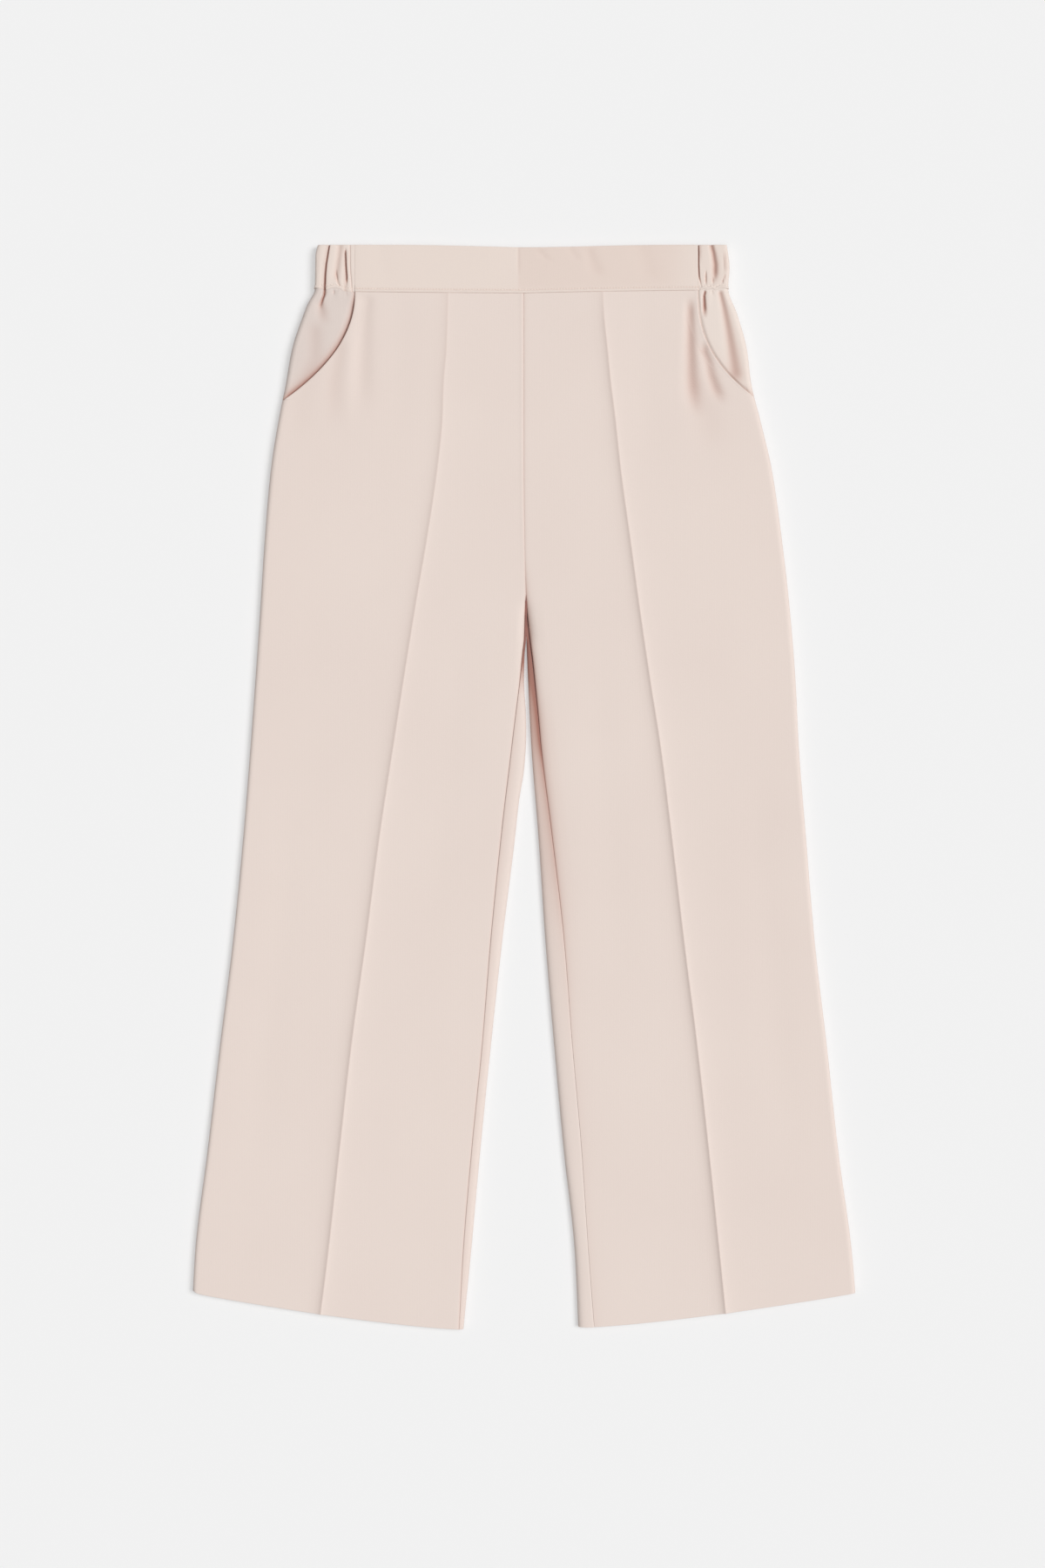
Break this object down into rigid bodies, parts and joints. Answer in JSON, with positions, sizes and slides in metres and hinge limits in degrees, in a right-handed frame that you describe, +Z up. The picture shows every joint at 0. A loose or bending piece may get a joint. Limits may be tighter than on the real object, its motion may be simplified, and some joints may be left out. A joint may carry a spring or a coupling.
{
  "type": "culottes",
  "caption": "Wide-leg pull-on culottes laid flat, with creased fronts, slanted pockets and a waistband that is plain in front and elasticated at the back.",
  "frame": {"origin": "on the surface that the garment lies on, under the middle of its bounding box", "axes": "+Z up out of that surface, through the back and then the front; +Y towards the waist; the wearer's right side is at -X"},
  "size_m": [0.5859, 0.9581, 0.0106],
  "materials": {
    "crepe": "matt crepe, pale blush",
    "waistband": "matt crepe folded double, pale blush"
  },
  "bodies": {
    "root": {"front_right": "crepe", "front_left": "crepe", "back_right": "crepe", "back_left": "crepe", "pocket_back_right": "crepe", "pocket_back_left": "crepe", "waistband_front": "waistband", "waistband_back": "waistband"}
  },
  "joints": []
}
